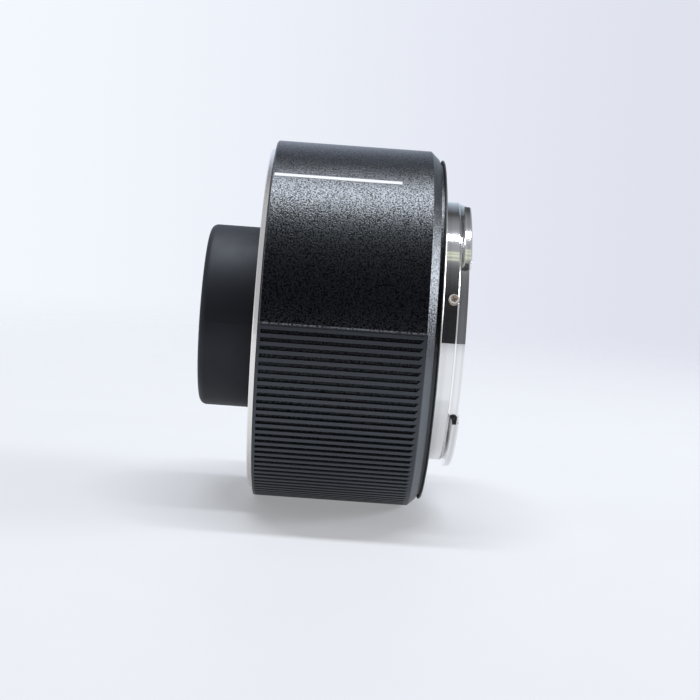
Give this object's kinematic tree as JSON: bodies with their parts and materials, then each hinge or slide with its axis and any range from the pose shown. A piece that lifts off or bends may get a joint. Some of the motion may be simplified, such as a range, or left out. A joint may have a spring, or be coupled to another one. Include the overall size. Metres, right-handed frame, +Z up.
{
  "type": "camera teleconverter",
  "caption": "Short camera teleconverter: ribbed black barrel with a bayonet socket in front, a claw plug behind, a lens nose, sprung contacts and a sliding lock release.",
  "frame": {"origin": "centre of the rear mounting face, on the optical axis", "axes": "+Y to the rear along the optical axis, towards the camera; -Y to the lens; +Z up, at the index marks"},
  "size_m": [0.0592, 0.0413, 0.0579],
  "materials": {
    "barrel_paint": "matte",
    "chassis_metal": "satin",
    "bayonet_chrome": "polished",
    "mount_screw_steel": "satin",
    "black_screw_steel": "satin",
    "stop_screw_steel": "satin",
    "spring_steel": "satin",
    "lock_steel": "satin",
    "baffle_black": "matte",
    "contact_plastic": "matte",
    "gold_contact": "polished",
    "flex_film": "satin",
    "board_laminate": "satin",
    "chip_plastic": "matte",
    "lens_unit_black": "matte",
    "lens_glass": "polished",
    "seal_rubber": "matte",
    "slider_plastic": "satin",
    "index_red": "gloss"
  },
  "bodies": {
    "body": {"outer_barrel": "barrel_paint", "chassis": "chassis_metal", "front_bayonet": "bayonet_chrome", "rear_bayonet": "bayonet_chrome", "front_mount_screws": "mount_screw_steel", "rear_mount_screws": "mount_screw_steel", "nose_tube_screws": "mount_screw_steel", "rear_cell_screws": "mount_screw_steel", "board_screws": "mount_screw_steel", "front_baffle_screws": "black_screw_steel", "contact_block_screws": "black_screw_steel", "rear_baffle_screws": "black_screw_steel", "rear_contact_screws": "black_screw_steel", "stop_screw": "stop_screw_steel", "bayonet_spring_ring": "spring_steel", "contact_springs": "spring_steel", "release_spring": "spring_steel", "front_baffle": "baffle_black", "rear_baffle": "baffle_black", "front_contact_block": "contact_plastic", "rear_contact_block": "contact_plastic", "rear_contacts": "gold_contact", "front_flex_cable": "flex_film", "rear_flex_cable": "flex_film", "circuit_board": "board_laminate", "board_chips": "chip_plastic", "nose_tube": "lens_unit_black", "front_retaining_ring": "lens_unit_black", "front_spacer": "lens_unit_black", "rear_lens_cell": "lens_unit_black", "middle_spacer": "lens_unit_black", "rear_spacer": "lens_unit_black", "rear_retaining_ring": "lens_unit_black", "lens_1": "lens_glass", "lens_2": "lens_glass", "lens_3": "lens_glass", "lens_4": "lens_glass", "lens_5": "lens_glass", "lens_6": "lens_glass", "lens_7": "lens_glass", "lens_8": "lens_glass", "lens_9": "lens_glass", "rear_seal": "seal_rubber", "index_dots": "index_red"},
    "release": {"release_slider": "slider_plastic", "release_carriage": "lock_steel", "slider_screws": "mount_screw_steel", "lock_pin": "lock_steel"},
    "contact_pin_1": {"contact_pin_1": "gold_contact"},
    "contact_pin_2": {"contact_pin_2": "gold_contact"},
    "contact_pin_3": {"contact_pin_3": "gold_contact"},
    "contact_pin_4": {"contact_pin_4": "gold_contact"},
    "contact_pin_5": {"contact_pin_5": "gold_contact"},
    "contact_pin_6": {"contact_pin_6": "gold_contact"},
    "contact_pin_7": {"contact_pin_7": "gold_contact"},
    "contact_pin_8": {"contact_pin_8": "gold_contact"},
    "contact_pin_9": {"contact_pin_9": "gold_contact"},
    "contact_pin_10": {"contact_pin_10": "gold_contact"}
  },
  "joints": [
    {"name": "release_slide", "type": "slide", "parent": "body", "child": "release", "axis": [0, 1, 0], "range_m": [0, 0.002], "stiffness_N_per_m": 400, "springref_m": -0.003, "deforming": ["release_spring"]},
    {"name": "contact_pin_1_press", "type": "slide", "parent": "body", "child": "contact_pin_1", "axis": [0, 1, 0], "range_m": [0, 0.0008], "stiffness_N_per_m": 250, "springref_m": -0.002, "deforming": ["contact_springs"]},
    {"name": "contact_pin_2_press", "type": "slide", "parent": "body", "child": "contact_pin_2", "axis": [0, 1, 0], "range_m": [0, 0.0008], "stiffness_N_per_m": 250, "springref_m": -0.002, "deforming": ["contact_springs"]},
    {"name": "contact_pin_3_press", "type": "slide", "parent": "body", "child": "contact_pin_3", "axis": [0, 1, 0], "range_m": [0, 0.0008], "stiffness_N_per_m": 250, "springref_m": -0.002, "deforming": ["contact_springs"]},
    {"name": "contact_pin_4_press", "type": "slide", "parent": "body", "child": "contact_pin_4", "axis": [0, 1, 0], "range_m": [0, 0.0008], "stiffness_N_per_m": 250, "springref_m": -0.002, "deforming": ["contact_springs"]},
    {"name": "contact_pin_5_press", "type": "slide", "parent": "body", "child": "contact_pin_5", "axis": [0, 1, 0], "range_m": [0, 0.0008], "stiffness_N_per_m": 250, "springref_m": -0.002, "deforming": ["contact_springs"]},
    {"name": "contact_pin_6_press", "type": "slide", "parent": "body", "child": "contact_pin_6", "axis": [0, 1, 0], "range_m": [0, 0.0008], "stiffness_N_per_m": 250, "springref_m": -0.002, "deforming": ["contact_springs"]},
    {"name": "contact_pin_7_press", "type": "slide", "parent": "body", "child": "contact_pin_7", "axis": [0, 1, 0], "range_m": [0, 0.0008], "stiffness_N_per_m": 250, "springref_m": -0.002, "deforming": ["contact_springs"]},
    {"name": "contact_pin_8_press", "type": "slide", "parent": "body", "child": "contact_pin_8", "axis": [0, 1, 0], "range_m": [0, 0.0008], "stiffness_N_per_m": 250, "springref_m": -0.002, "deforming": ["contact_springs"]},
    {"name": "contact_pin_9_press", "type": "slide", "parent": "body", "child": "contact_pin_9", "axis": [0, 1, 0], "range_m": [0, 0.0008], "stiffness_N_per_m": 250, "springref_m": -0.002, "deforming": ["contact_springs"]},
    {"name": "contact_pin_10_press", "type": "slide", "parent": "body", "child": "contact_pin_10", "axis": [0, 1, 0], "range_m": [0, 0.0008], "stiffness_N_per_m": 250, "springref_m": -0.002, "deforming": ["contact_springs"]}
  ]
}
